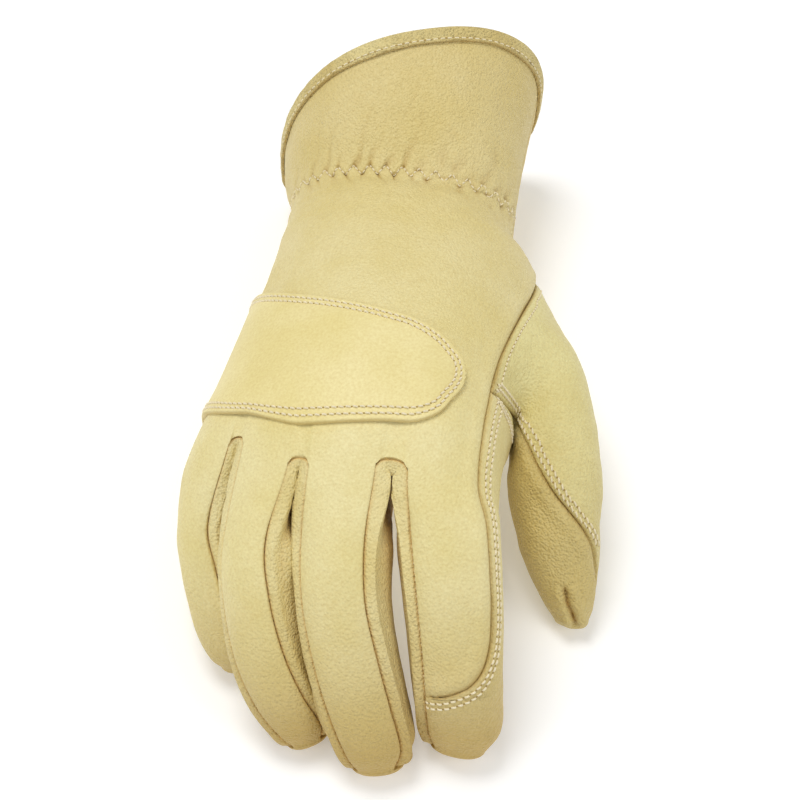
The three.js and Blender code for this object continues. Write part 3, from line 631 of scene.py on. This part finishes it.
def solid_mesh(name, vertices, quads, material, values=None):
    """Mesh object from points in millimetres and quads; a quad with two equal corners becomes a triangle."""
    same = quads == np.roll(quads, -1, axis=1)
    whole = quads[~same.any(1)]
    kept = [np.roll(quads[same[:, k] & (same.sum(1) == 1)], -k - 1, axis=1)[:, :3] for k in range(4)]
    mesh = bpy.data.meshes.new(name)
    corners = whole.tolist() + np.concatenate(kept).tolist()
    mesh.from_pydata(((vertices - CENTRE) / 1000).tolist(), [], corners)
    for key, value in (values or {}).items():
        mesh.attributes.new(key, "FLOAT", "POINT").data.foreach_set("value", np.asarray(value, np.float32))
    mesh.shade_smooth()
    mesh.set_sharp_from_angle(angle=math.radians(58))
    mesh.materials.append(material)
    return linked(name, mesh)


# Back panel: one piece of goatskin from the cuff's rim over the knuckles to three fingertips.
# It is gathered on a zigzag of elastic thread at the wrist, and its finger seams are sewn and turned.
GATHER, PLEAT, SWING = 48.0, 5.9, 2.1      # length of the zigzag's middle line, its period and half height


def arc_lengths(line):
    """Length along a polyline from its first point to each point."""
    return np.concatenate([[0], np.cumsum(np.linalg.norm(np.diff(line, axis=0), axis=1))])


gather_angles = np.linspace(-20, 225, 491)
gather_arc = arc_lengths(hand_stations(gather_angles)[list(HAND[:, 0]).index(GATHER)])


def zigzag(u):
    """Triangle wave of period 1 from -1 to 1, slightly rounded."""
    return np.arcsin(0.97 * np.sin(2 * np.pi * u)) / np.arcsin(0.97)


def gather_shift(u):
    """How far along the hand the zigzag lies from its middle line."""
    return SWING * zigzag(u)


def gathers(s, angle):
    """Relief of the gathered wrist: a groove along the zigzag, and creases that lean out from its corners,
    with painted shade in the creases and the groove.
    """
    u = np.interp(angle, gather_angles, gather_arc) / PLEAT
    strength = np.interp(angle, [0, 12, 30, 112, 135, 160, 205], [0.3, 0.8, 1, 1, 0.7, 0.4, 0.2])
    off = s - GATHER - gather_shift(u)
    wander = 0.1 * np.sin(u * 2.9 + s * 0.23)
    up = np.abs((u + wander - 0.045 * off + 0.75) % 1 - 0.5) * PLEAT
    down = np.abs((u + wander + 0.03 * off + 0.25) % 1 - 0.5) * PLEAT
    long_up = 7 + 4 * np.sin(np.floor(u + 0.25) * 2.4)
    long_down = 6 + 3.5 * np.sin(np.floor(u - 0.25) * 3.7 + 1)
    creases = np.where(off < 0, bell(up, 0.75) * np.exp(off / long_up),
                       bell(down, 0.75) * np.exp(-off / long_down))
    groove = bell(off, 0.8)
    swell = np.exp(-np.abs(off) / 9)
    height = strength * (0.9 * swell - 1.4 * creases - 0.8 * groove)
    # the second value is painted shade in the creases and the groove
    return height, strength * np.clip(0.45 * creases + 0.26 * groove, 0, 0.5)


WRINKLE_STRETCH = np.array([0.35, 1.6, 0.5])      # wrinkles run across the wrist


def back_relief(p, s, angle):
    """Soft waves all over, wrinkles across the wrist, and the gathers on the upper side of the cuff, whose
    painted shade fades out toward the knuckles.
    """
    height = 0.25 * ripple(p, 34, 3) + 0.12 * ripple(p, 15, 4)
    height = height + 0.28 * ripple(p * WRINKLE_STRETCH, 11, 5) * bell(s - 70, 13)
    on_hand = clamp((150 - s) / 20)
    near_rim = clamp((s - 5) / 5)
    gathered, painted_shade = gathers(s, angle)
    inside = (s < 90) & (p[:, 1] > 40)
    height = height * (1 - 0.4 * bell(s - GATHER, 8)) * near_rim + np.where(inside, gathered, 0)
    return height, np.where(inside, painted_shade, 0) * on_hand


def finger_tan_and_shade(p, s):
    """Share of tan: none over the knuckles, more on the fingertips, the more the lower they lie, and toward
    the cuff; partly the leather's own tan, partly painted shade.
    """
    low = clamp(1 - p[:, 2] / 90)
    return clamp((s - 205) / 55) * 1.1 * low + 0.46 * clamp(1 - s / 170)


back_leather = goatskin("goatskin_back", "#efe4ab", "#e7d996", pebble=0.75)
sew_panel("back_panel", back_leather, back_relief, 0.4, finger_tan_and_shade,
          under=("index_wrap", "thumb_back"))


# Palm panel: a second hide of the same goatskin under the hand and the fingers' front, seams turned.
# It lies flat on the table under the heel of the hand and lifts in the hollow.
def plain_relief(p, s, angle):
    """Two sizes of soft wave, no folds and no painted shade."""
    return 0.2 * ripple(p, 30, 8) + 0.1 * ripple(p, 12, 9), 0 * s


palm_leather = goatskin("goatskin_palm", "#e8d795", "#dcc880", pebble=0.6)
sew_panel("palm_panel", palm_leather, plain_relief, 0.35, finger_tan_and_shade)


# Fourchettes: three long gussets of thinner pebbled goatskin between the fingers, root web in the middle.
# They are sewn and turned to the back and palm panels on both long edges.
# The fourchettes' shade colour is a bright warm orange: painted shade and painted reflection of light bounced
# between the fingers.
fourchette_leather = goatskin("goatskin_fourchette", "#efe2a8", "#e2d08c", shade="#cf9a48", pebble=0.9)
BEAD = {"index": 1.75, "middle": 1.3, "ring": 1.15}
for a, b in zip(FINGERS, FINGERS[1:]):
    sew_panel(f"fourchette_{a}_{b}", fourchette_leather, plain_relief, 0.7, finger_tan_and_shade,
              bead=BEAD[a])


# Index side piece: one piece from the thumb crotch along the finger's outer side and round its whole tip.
# Its edge is lapped over the back panel and sewn down with two rows.
sew_panel("index_wrap", back_leather, plain_relief, 0.45, finger_tan_and_shade, over=("back_panel",))


# Thumb: an outer wing lapped over the back panel, and a front piece round to the palm and the tip.
# The wing laps over the front piece too, sewn down with two rows of heavy thread.
thumb_leather = goatskin("goatskin_thumb", "#ebe2a4", "#dfd28e", pebble=0.8)


def evenly(line, step=0.4):
    """Polyline of any dimension resampled at even steps."""
    arc = arc_lengths(line)
    at = np.linspace(0, arc[-1], max(int(arc[-1] / step), 3))
    return np.stack([np.interp(at, arc, line[:, k]) for k in range(line.shape[1])], -1)


# points x y z of the cleft's floor, from the top of the tip down
CLEFT = np.array([[61.3, -39.7, 20.2], [62.1, -41.4, 18.2], [63.2, -43.7, 15.7],
                  [65, -45.1, 12.7], [66.4, -46.3, 9.6], [66.9, -46.8, 6.8]])


def thumb_relief(p, s, angle):
    """Soft waves, and a cleft over the tip: a groove along CLEFT between two full lips, with painted shade in
    the groove.
    """
    height = 0.2 * ripple(p, 22, 12) + 0.12 * ripple(p, 9, 13)
    line = evenly(CLEFT, 0.25)
    d, k = nearest(line, p)
    begun = clamp(k / 6)
    # the second value is painted shade along the groove
    return height - 1.5 * bell(d, 0.8) * begun + 0.7 * bell(d - 2.6, 1.5) * begun, 0.95 * bell(d, 0.6) * begun


def thumb_tip(p, s):
    """Share of tan on the wing: more toward the thumb's tip."""
    return clamp((s - 40) / 75) * 0.4


def thumb_front_painted_shade(p, s):
    """Share of tan on the front piece: painted shade that makes it darker than the wing."""
    return clamp((s - 12) / 40) * 0.55


sew_panel("thumb_back", thumb_leather, thumb_relief, 0.6, thumb_tip,
          over=("back_panel", "thumb_front"))
# the front piece's share of tan is painted shade
sew_panel("thumb_front", thumb_leather, thumb_relief, 0.75, thumb_front_painted_shade,
          under=("thumb_back",))


# Knuckle strap: a rounded patch of goatskin over the knuckles, its left end taken into the side seam.
# Its skived edge is sewn down with two rows; the face is left bare.
# angle round the hand, lengths of the patch's upper and lower edge
STRAP = np.array([
    [70, 134, 155.8], [76, 130.8, 159],
    [84, 128.2, 162.2], [92, 126.2, 164.3], [101, 123.6, 165.2], [110, 121.8, 165.2],
    [120, 119.8, 165.4], [131, 117.4, 165], [140, 115, 163], [148, 112, 159.8], [156, 109, 156],
    [165, 107, 153.5], [176, 105.3, 151.5], [187, 104.3, 150], [198, 103.5, 149]])
STRAP_LIFT, STRAP_THICK, STRAP_EDGE, STRAP_ROWS = 0.5, 1.3, 0.9, (1.7, 3.4)
STRAP_START, STRAP_BLEND, STRAP_END, STRAP_ROUND = 62.5, 70, 198, 13.5


def back_skin(s, angle):
    """Back of the hand at a true angle, each angle run on into the finger that its strip belongs to."""
    out = np.zeros((*angle.shape, 3))
    reach = 0.0
    for name in [*FINGERS, "side"]:
        edges = TOP_STRIP.get(name, SIDE_STRIP)
        limit = edges[1] + 2.6 if name != "side" else 1000
        mine = (angle > reach) & (angle <= limit)
        reach = limit
        t = clamp((angle - edges[0]) / (edges[1] - edges[0]))
        digit = SIDE_ON_DIGIT if name == "side" else EDGE_ON_DIGIT[name]
        arch = BACK_ARCH.get(name, SIDE_ARCH)
        here = skin(s, angle, "little" if name == "side" else name, mix(*digit, t), mix(*arch, t))
        out = np.where(mine[..., None], here, out)
    return out


def unit(v):
    """Directions of length 1."""
    return v / np.linalg.norm(v, axis=-1, keepdims=True)


def back_surface(s, angle):
    """Point and outward direction of the back at (s, angle)."""
    round_way = back_skin(s, angle + 0.5) - back_skin(s, angle - 0.5)
    long_way = back_skin(s + 0.5, angle) - back_skin(s - 0.5, angle)
    return back_skin(s, angle), unit(np.cross(round_way, long_way))


close_by_end = STRAP_START + np.array([0, 0.12, 0.35, 0.75, 1.3, 2, 2.9, 4, 5.2])
strap_rows = np.concatenate([close_by_end, np.linspace(69, STRAP_END, 124)])


def fit_scale(angle):
    """Angle round the hand brought to about -1 to 1, which keeps the fit steady."""
    return (angle - 130) / 68


# each edge is one fair curve of the sixth degree; the rounded end is blended on below STRAP_BLEND
fair = [np.polyfit(fit_scale(STRAP[:, 0]), STRAP[:, k], 6) for k in (1, 2)]
strap_low, strap_high = (np.polyval(f, fit_scale(np.maximum(strap_rows, STRAP_BLEND))) for f in fair)
by_end = strap_rows < STRAP_BLEND
tail = clamp((strap_rows - STRAP_START) / STRAP_ROUND)
round_end = (1 - (1 - tail) ** 2) ** 0.42
between = (strap_low + strap_high) / 2
middle = np.interp(strap_rows, [STRAP_START, STRAP_BLEND], [143.6, between[~by_end][0]])
middle = np.where(by_end, middle, between)
across_strap = close_at_seams(45, (0.25, 0.5, 0.8, 1.2, 1.7, 2.3))
half = np.where(by_end, 10.9 + (strap_rows - STRAP_BLEND) * 0.3, (strap_high - strap_low) / 2)
s_grid = middle[:, None] + (half * round_end)[:, None] * (2 * across_strap[None] - 1)
a_grid = strap_rows[:, None] + 0 * s_grid
base, way = back_surface(s_grid, a_grid)
outline = np.concatenate([base[:, 0], base[:, -1], base[0]])
d = nearest(outline, base.reshape(-1, 3))[0].reshape(s_grid.shape)
lift = STRAP_LIFT + STRAP_THICK - 0.75 * rounded_off(d, STRAP_EDGE)
lift -= 0.22 * sum(bell(d - by, 0.55) for by in STRAP_ROWS)
lift += 0.12 * ripple(base.reshape(-1, 3), 26, 21).reshape(d.shape) * clamp(d / 6)
top = base + way * lift[..., None]
bottom = base + way * 0.1
size = top.shape[0] * top.shape[1]
ids = np.arange(size).reshape(top.shape[:2])
face = grid_quads(ids)
loop = np.concatenate([ids[:-1, 0], ids[-1, :-1], ids[:0:-1, -1], ids[0, :0:-1]])
ahead = np.roll(loop, -1)
strap_wall = np.stack([ahead, loop, loop + size, ahead + size], -1)
strap_leather = goatskin("goatskin_strap", "#f2e5a8", "#eadb96", pebble=0.35)
# painted shade along the strap's edge
strap = solid_mesh("knuckle_strap_leather", np.concatenate([top.reshape(-1, 3), bottom.reshape(-1, 3)]),
                   np.concatenate([face, face[:, ::-1] + size, strap_wall]), strap_leather,
                   {"painted_shade": np.tile((0.3 * bell(d, 0.35)).ravel(), 2), "pebble": np.full(size * 2, 0.2)})
outer_skin["knuckle_strap"] = (base.reshape(-1, 3), (top - base).reshape(-1, 3), way.reshape(-1, 3))
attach(strap, "root")
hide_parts("knuckle_strap")


# Cuff binding: a band of suede split folded over the rim and sewn through with one row.
# The nap is rough and slightly darker than the grain side.
RIM_ROWS = np.array([0.0, 6.0])
OUT, IN, FOLD = 1.45, -3.15, 2.3      # the band's two faces from the skin, and the half width of its fold
BAND, BAND_THICK, BAND_ROW = 5.2, 1.1, 3.9      # its height and wall, and the depth of its row of stitches


def rim_run(order, bottom):
    """Columns of two rows by the rim, strip by strip with the slits between them, on the back or the palm."""
    edges, angle_at = (BOTTOM_STRIP, palm_angle) if bottom else (TOP_STRIP, back_angle)
    run = []
    for name, after in zip(order, [*order[1:], None]):
        run.append(strip_columns(name, RIM_ROWS, bottom)[0])
        if after:
            hand = mix(edges[name][1], edges[after][0], SLIT_ACROSS[1:-1, None])
            run.append(skin(RIM_ROWS[None], angle_at(hand, 0.0) + np.zeros((1, 2))))
    return np.concatenate(run)


rim_columns = np.concatenate([rim_run(FINGERS, False), side_columns(RIM_ROWS)[0][1:],
                              rim_run(FINGERS[::-1], True)[1:-1]])
rim_columns[..., 2] = np.maximum(rim_columns[..., 2], 0)
rim_points, rim_below = rim_columns[:, 0], rim_columns[:, 1]
down = unit(rim_below - rim_points)
ahead = np.roll(rim_points, -1, 0) - np.roll(rim_points, 1, 0)
out = unit(np.cross(ahead, down))
t = np.linspace(0, 1, 9)
turn = np.linspace(0, np.pi, 13)
side_out = np.stack([OUT - 0.5 * rounded_off(t * BAND, EDGE_ROUND), BAND - BAND * t], -1)
over_top = np.stack([(OUT + IN) / 2 + FOLD * np.cos(turn), -1.45 * np.sin(turn)], -1)[1:-1]
side_in = np.stack([IN + 0 * t, BAND * t], -1)
inner_face = np.stack([IN + BAND_THICK + 0 * t, BAND - 5.0 * t], -1)
outer_face = np.stack([0.15 + 0 * t, 0.2 + 5.0 * t], -1)
profile = np.concatenate([side_out, over_top, side_in, inner_face, outer_face])
arc = arc_lengths(rim_points)
sway = 0.22 * np.sin(arc / 11) + 0.15 * np.sin(arc / 4.7 + 2)
tube = (rim_points[:, None] + out[:, None] * profile[None, :, :1]
        + down[:, None] * (profile[None, :, 1:] + sway[:, None, None] * (profile[None, :, 1:] > 2)))
shallow = 0.14 * ripple(tube.reshape(-1, 3), 5.5, 31).reshape(tube.shape[:2])
shallow -= 0.35 * bell(profile[None, :, 1] - BAND_ROW, 0.6)
tube = tube + out[:, None] * (shallow * (profile[None, :, 0] > 1))[..., None]
tube[..., 2] = np.maximum(tube[..., 2], 0)
ring_ids = np.arange(tube.shape[0] * tube.shape[1]).reshape(tube.shape[:2])
next_ring, next_side = np.roll(ring_ids, -1, 0), np.roll(ring_ids, -1, 1)
band = np.stack([ring_ids, next_ring, np.roll(next_side, -1, 0), next_side], -1).reshape(-1, 4)
suede = goatskin("suede_split", "#e6d79a", "#d2bd7a", pebble=1.4, rough=0.85)
# painted shade along the band's lower outer edge, where it meets the cuff
band_edge_shade = 0.4 * bell(profile[:, 1] - BAND, 0.5) * (profile[:, 0] > 0)
binding = solid_mesh("cuff_binding_suede", tube.reshape(-1, 3), band[:, ::-1], suede,
                     {"painted_shade": np.tile(band_edge_shade, len(tube)), "pebble": np.full(tube[..., 0].size, 0.8)})
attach(binding, "root")
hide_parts("cuff_binding")


# Sewing thread: cream aramid, 0.5 to 0.75 mm thick, a stitch each 2.2 mm, diving into open needle holes, each
# a dark lens of painted shade.
# Two rows hold the strap and the index side piece, one the thumb's wing, two heavy ones its front seam.
def on_leather(line, piece):
    """Raises points of the skin to a piece's outer face: the mean offset of the four nearest mesh points."""
    base, offset, outward = outer_skin[piece]
    parts = []
    for k in range(0, len(line), 200):
        part = line[k:k + 200]
        square = (part**2).sum(1)[:, None] + (base**2).sum(1)[None] - 2 * part @ base.T
        parts.append(np.argpartition(square, 4, axis=1)[:, :4])
    near = np.concatenate(parts)
    weight = 1 / (np.linalg.norm(base[near] - line[:, None], axis=-1, keepdims=True) + 0.15)
    weight /= weight.sum(1, keepdims=True)
    return line + (offset[near] * weight).sum(1), unit((outward[near] * weight).sum(1))


def inset(line, by):
    """A flat polyline (N, 2) moved to its left by a distance."""
    way = unit(np.gradient(line, axis=0))
    return line + by * np.stack([-way[:, 1], way[:, 0]], -1)


def thread_mesh(name, rows, pitch, length, radius, slant=0.0, proud=0.5, hole=0.42):
    """Stitches along rows of (points, outward directions). Each is a capsule of seven rings of six points:
    its middle stands proud, its ends dip below the leather, and slant turns it across the row.
    Between two stitches lies a needle hole, a flat lens in a dark colour: painted shade for the hole."""
    t = np.linspace(-1, 1, 7)
    turn = np.arange(6) * np.pi / 3
    bodies, holes = [], []
    for line, up in rows:
        arc = arc_lengths(line)
        count = max(int(arc[-1] / pitch), 1)
        step = arc[-1] / count
        def along(values, where):
            """The row's points or directions at lengths along it."""
            return np.stack([np.interp(where, arc, values[:, k]) for k in range(3)], -1)
        where = (np.arange(count)[:, None] + 0.5) * step + t[None] * length / 2
        at, n = along(line, where), along(up, where)
        ahead = np.gradient(at, axis=1)
        side = unit(np.cross(ahead, n))
        rise = radius * proud * (1 - t**2) - 0.9 * radius * t**6
        at = at + side * (slant * t)[None, :, None] + n * rise[None, :, None]
        r = radius * np.sqrt(1.04 - t**8)
        bodies.append(at[:, :, None] + side[:, :, None] * (r[:, None] * np.cos(turn))[None, :, :, None]
                      + n[:, :, None] * (r[:, None] * np.sin(turn))[None, :, :, None])
        where = np.arange(count + 1) * step
        at, n = along(line, where), along(up, where)
        ahead = unit(along(line, where + 0.2) - along(line, where - 0.2))
        side = np.cross(ahead, n)
        ring = np.arange(8)[None, :, None] * np.pi / 4
        oval = ahead[:, None] * np.cos(ring) * hole * 1.25 + side[:, None] * np.sin(ring) * hole
        holes.append(np.concatenate([at[:, None] + 0.03 * n[:, None] + oval, (at + 0.10 * n)[:, None],
                                     (at - 0.12 * n)[:, None]], 1))
    bodies, holes = np.concatenate(bodies), np.concatenate(holes)
    one = np.arange(42).reshape(7, 6)
    skin_quads = grid_quads(np.concatenate([one, one[:, :1]], 1))
    ends = np.array([[0, 1, 2, 3], [0, 3, 4, 5], [39, 38, 37, 36], [41, 40, 39, 36]])
    body = np.concatenate([skin_quads, ends])
    quads = (body[None] + 42 * np.arange(len(bodies))[:, None, None]).reshape(-1, 4)
    k = np.arange(8)
    lens_quads = np.concatenate([np.stack([k, (k + 1) % 8, 8 + 0 * k, 8 + 0 * k], -1),
                                 np.stack([(k + 1) % 8, k, 9 + 0 * k, 9 + 0 * k], -1)])
    start = 42 * len(bodies)
    lenses = (lens_quads[None] + start + 10 * np.arange(len(holes))[:, None, None]).reshape(-1, 4)
    vertices = np.concatenate([bodies.reshape(-1, 3), holes.reshape(-1, 3)])
    vertices[:, 2] = np.maximum(vertices[:, 2], 0)
    obj = solid_mesh(name, vertices, np.concatenate([quads, lenses]), thread)
    obj.data.materials.append(hole_shade)
    which = np.zeros(len(obj.data.polygons), np.int32)
    which[len(quads):] = 1
    obj.data.polygons.foreach_set("material_index", which)
    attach(obj, "root")


thread, tree, thread_shader = material_of("cream_aramid_thread", Roughness=0.65)
where_on = node(tree, "ShaderNodeTexCoord").outputs["Object"]
ply = node(tree, "ShaderNodeTexNoise", Vector=where_on, Scale=1900.0, Detail=2.0)
tint = blend(tree, ply.outputs[0], hex_colour("#f8eed2"), hex_colour("#e2d2a6"))
tree.links.new(tint, thread_shader.inputs["Base Color"])
twist = node(tree, "ShaderNodeBump", Strength=0.6, Distance=0.0001, Height=ply.outputs[0])
tree.links.new(twist.outputs[0], thread_shader.inputs["Normal"])
# needle holes: a dark colour as painted shade
hole_shade = material_of("needle_hole_painted_shade", Base_Color=hex_colour("#ab9055"), Roughness=0.9)[0]

# strap: outline flattened to millimetres, then two rows inside it
arc_at = np.linspace(60, 200, 281)
flat_line = back_skin(np.full((1, 281), 140.0), arc_at[None])[0]
flat_arc = arc_lengths(flat_line)
upper_edge, lower_edge = (np.stack([strap_rows, s_grid[:, k]], -1) for k in (0, -1))
outline = np.concatenate([lower_edge[::-1], upper_edge])
outline[:, 0] = np.interp(outline[:, 0], arc_at, flat_arc)
outline = evenly(outline, 0.8)
strap_seams = []
for by in STRAP_ROWS:
    row = evenly(inset(outline, by))
    angle = np.interp(row[:, 0], flat_arc, arc_at)
    strap_seams.append(on_leather(back_skin(row[None, :, 1], angle[None])[0], "knuckle_strap"))
thread_mesh("strap_stitching", strap_seams, 2.25, 1.95, 0.36, slant=0.18, proud=0.75, hole=0.3)

# index side piece: two rows inside its edge, round the corner at the crotch and the corner at the tip
FINGER_RADIUS = 15.0      # turns angles on the finger into millimetres
edge_s = np.concatenate([np.full(12, SEAM_END), np.linspace(SEAM_END, WRAP_CORNER[1], 260)])
edge_phi = np.concatenate([np.linspace(0, 44, 12), wrap_edge(edge_s[12:])])
outline = evenly(np.stack([np.radians(edge_phi) * FINGER_RADIUS, edge_s], -1), 0.8)
wrap_seams = []
for by in (1.35, 2.95):
    row = evenly(inset(outline, by))
    row = row[(row[:, 1] > 142.4) & (row[:, 0] < np.radians(139) * FINGER_RADIUS)]
    phi, s = np.degrees(row[:, 0] / FINGER_RADIUS), row[:, 1]
    share = clamp((phi + LOW_EDGE["index"]) / (wrap_edge(s) + LOW_EDGE["index"]))
    hand, arch = mix(*WRAP_ON_HAND, share), mix(*WRAP_ARCH, share)
    line = skin(s[None], hand[None], "index", phi[None], arch[None])[0]
    wrap_seams.append(on_leather(line, "index_wrap"))
thread_mesh("side_piece_stitching", wrap_seams, 2.2, 1.9, 0.34, slant=0.15, proud=0.75, hole=0.3)


def line_across(grid, distance):
    """Points of a grid (column, row, 3) at a distance along each column from its first row."""
    arc = np.cumsum(np.linalg.norm(np.diff(grid, axis=1), axis=2), axis=1)
    k = np.argmax(arc > distance, axis=1)
    return grid[np.arange(len(grid)), k + 1]


# thumb: one row along the wing's edge, two ropey rows of heavy thread down the seam of its front
wing_row = evenly(line_across(thumb_outer, 2.0)[1:])
thread_mesh("wing_stitching", [on_leather(wing_row, "thumb_back")], 2.1, 1.6, 0.26, proud=0.7, hole=0.32)
heavy = []
for distance in (1.0, 3.1):
    column = line_across(thumb_outer.transpose(1, 0, 2)[:, ::-1], distance)
    heavy.append(on_leather(evenly(column[1:82]), "thumb_back"))
thread_mesh("thumb_stitching", heavy, 2.3, 2.15, 0.38, slant=0.42, proud=0.7, hole=0.34)

# binding: one row along its lower edge, through band and cuff
binding_line = rim_points + down * BAND_ROW + out * (OUT - 0.3)
closed = np.concatenate([binding_line, binding_line[:1]])
both = evenly(np.concatenate([closed, np.concatenate([out, out[:1]])], 1))
thread_mesh("binding_stitching", [(both[:, :3], both[:, 3:])], 2.6, 2.0, 0.24)

# wrist: elastic thread in a zigzag that draws the back together
u = np.arange(np.interp(6, gather_angles, gather_arc), np.interp(196, gather_angles, gather_arc), 0.3) / PLEAT
angle = np.interp(u * PLEAT, gather_arc, gather_angles)
s = GATHER + gather_shift(u)
line = skin(s[None], angle[None])[0]
thread_mesh("gather_thread", [on_leather(evenly(line), "back_panel")], 2.05, 1.8, 0.24, proud=0.7, hole=0.2)

# finger seams: sewn inside out and turned, so that only short specks of thread show in the groove
index_seam = skin(index_rows[None, :corner], TOP_STRIP["index"][1], "index", EDGE_ON_DIGIT["index"][1],
                  BACK_ARCH["index"][1])[0]
specks = [on_leather(evenly(index_seam[2:-4]), "back_panel")]
thread_mesh("finger_seam_thread", specks, 2.5, 0.9, 0.1, proud=0.2, hole=0.05)


# Plain pale table, soft studio light from the upper left, and the camera at the photograph's angle.
table = material_of("white_table", Base_Color=(0.9, 0.9, 0.9, 1), Roughness=0.9,
                    Emission_Color=(1, 1, 1, 1), Emission_Strength=0.22)[0]
floor_mesh = bpy.data.meshes.new("table_top")
floor_mesh.from_pydata([(-4, -4, 0), (4, -4, 0), (4, 4, 0), (-4, 4, 0)], [], [(0, 1, 2, 3)])
floor_mesh.materials.append(table)
floor = linked("table_top", floor_mesh)


def soft_light(name, place, aim, size, power):
    """Round area light at a place, turned to what it aims at; size in metres, power in watts."""
    lamp = bpy.data.lights.new(name, "AREA")
    lamp.shape, lamp.size, lamp.energy = "DISK", size, power
    obj = linked(name, lamp)
    obj.location = place
    obj.rotation_euler = (Vector(aim) - Vector(place)).to_track_quat("-Z", "Y").to_euler()


soft_light("key", (-0.35, 0.3, 1.4), (0, -0.02, 0.03), 0.65, 9.5)
soft_light("fill", (1.05, -0.4, 0.8), (0, 0, 0.03), 0.7, 3.6)
soft_light("front", (-1.0, -0.8, 0.7), (0, -0.05, 0.03), 0.6, 2.8)
world = bpy.data.worlds.new("studio")
bpy.context.scene.world = world
world.use_nodes = True
world.node_tree.nodes["Background"].inputs[0].default_value = (1, 1, 1, 1)
world.node_tree.nodes["Background"].inputs[1].default_value = 0.44
bpy.context.scene.view_settings.view_transform = "Standard"
bpy.context.scene.view_settings.look = "None"

AZIMUTH, ELEVATION, DISTANCE = math.radians(10), math.radians(55), 0.52
target = Vector((-0.00116, -0.025, 0.055))
back = Vector((math.sin(AZIMUTH) * math.cos(ELEVATION), -math.cos(AZIMUTH) * math.cos(ELEVATION),
               math.sin(ELEVATION)))
lens = bpy.data.cameras.new("camera")
lens.lens, lens.sensor_width = 72, 36
lens.clip_start, lens.clip_end = 0.01, 20
camera = linked("camera", lens)
camera.location = target + back * DISTANCE
camera.rotation_euler = (-back).to_track_quat("-Z", "Y").to_euler()
bpy.context.scene.camera = camera

bpy.context.view_layer.update()
